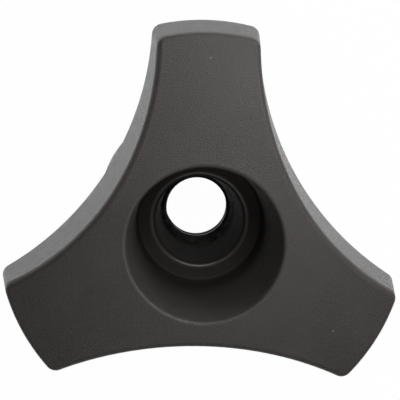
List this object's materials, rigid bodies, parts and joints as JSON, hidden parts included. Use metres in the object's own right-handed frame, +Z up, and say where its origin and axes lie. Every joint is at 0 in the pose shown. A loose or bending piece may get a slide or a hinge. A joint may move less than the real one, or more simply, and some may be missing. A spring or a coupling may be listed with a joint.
{
  "type": "wing nut",
  "caption": "Hand-tightened wing nut: a domed plastic handle with radial wings, a deep stepped recess for the stud end, and a steel nut moulded into its hub.",
  "frame": {"origin": "centre of the seat face, the flat end of the hub that bears on the clamped part", "axes": "+Z up the thread axis, out of the recess in the domed front; +Y along one wing"},
  "size_m": [0.0536, 0.0475, 0.0309],
  "materials": {
    "handle_plastic": "charcoal black glass-filled nylon with a fine spark-eroded grain",
    "nut_steel": "black-oxide steel, lightly oiled, bare on the turned faces"
  },
  "bodies": {
    "root": {"wing_handle": "handle_plastic", "hexagon_nut": "nut_steel"}
  },
  "joints": []
}
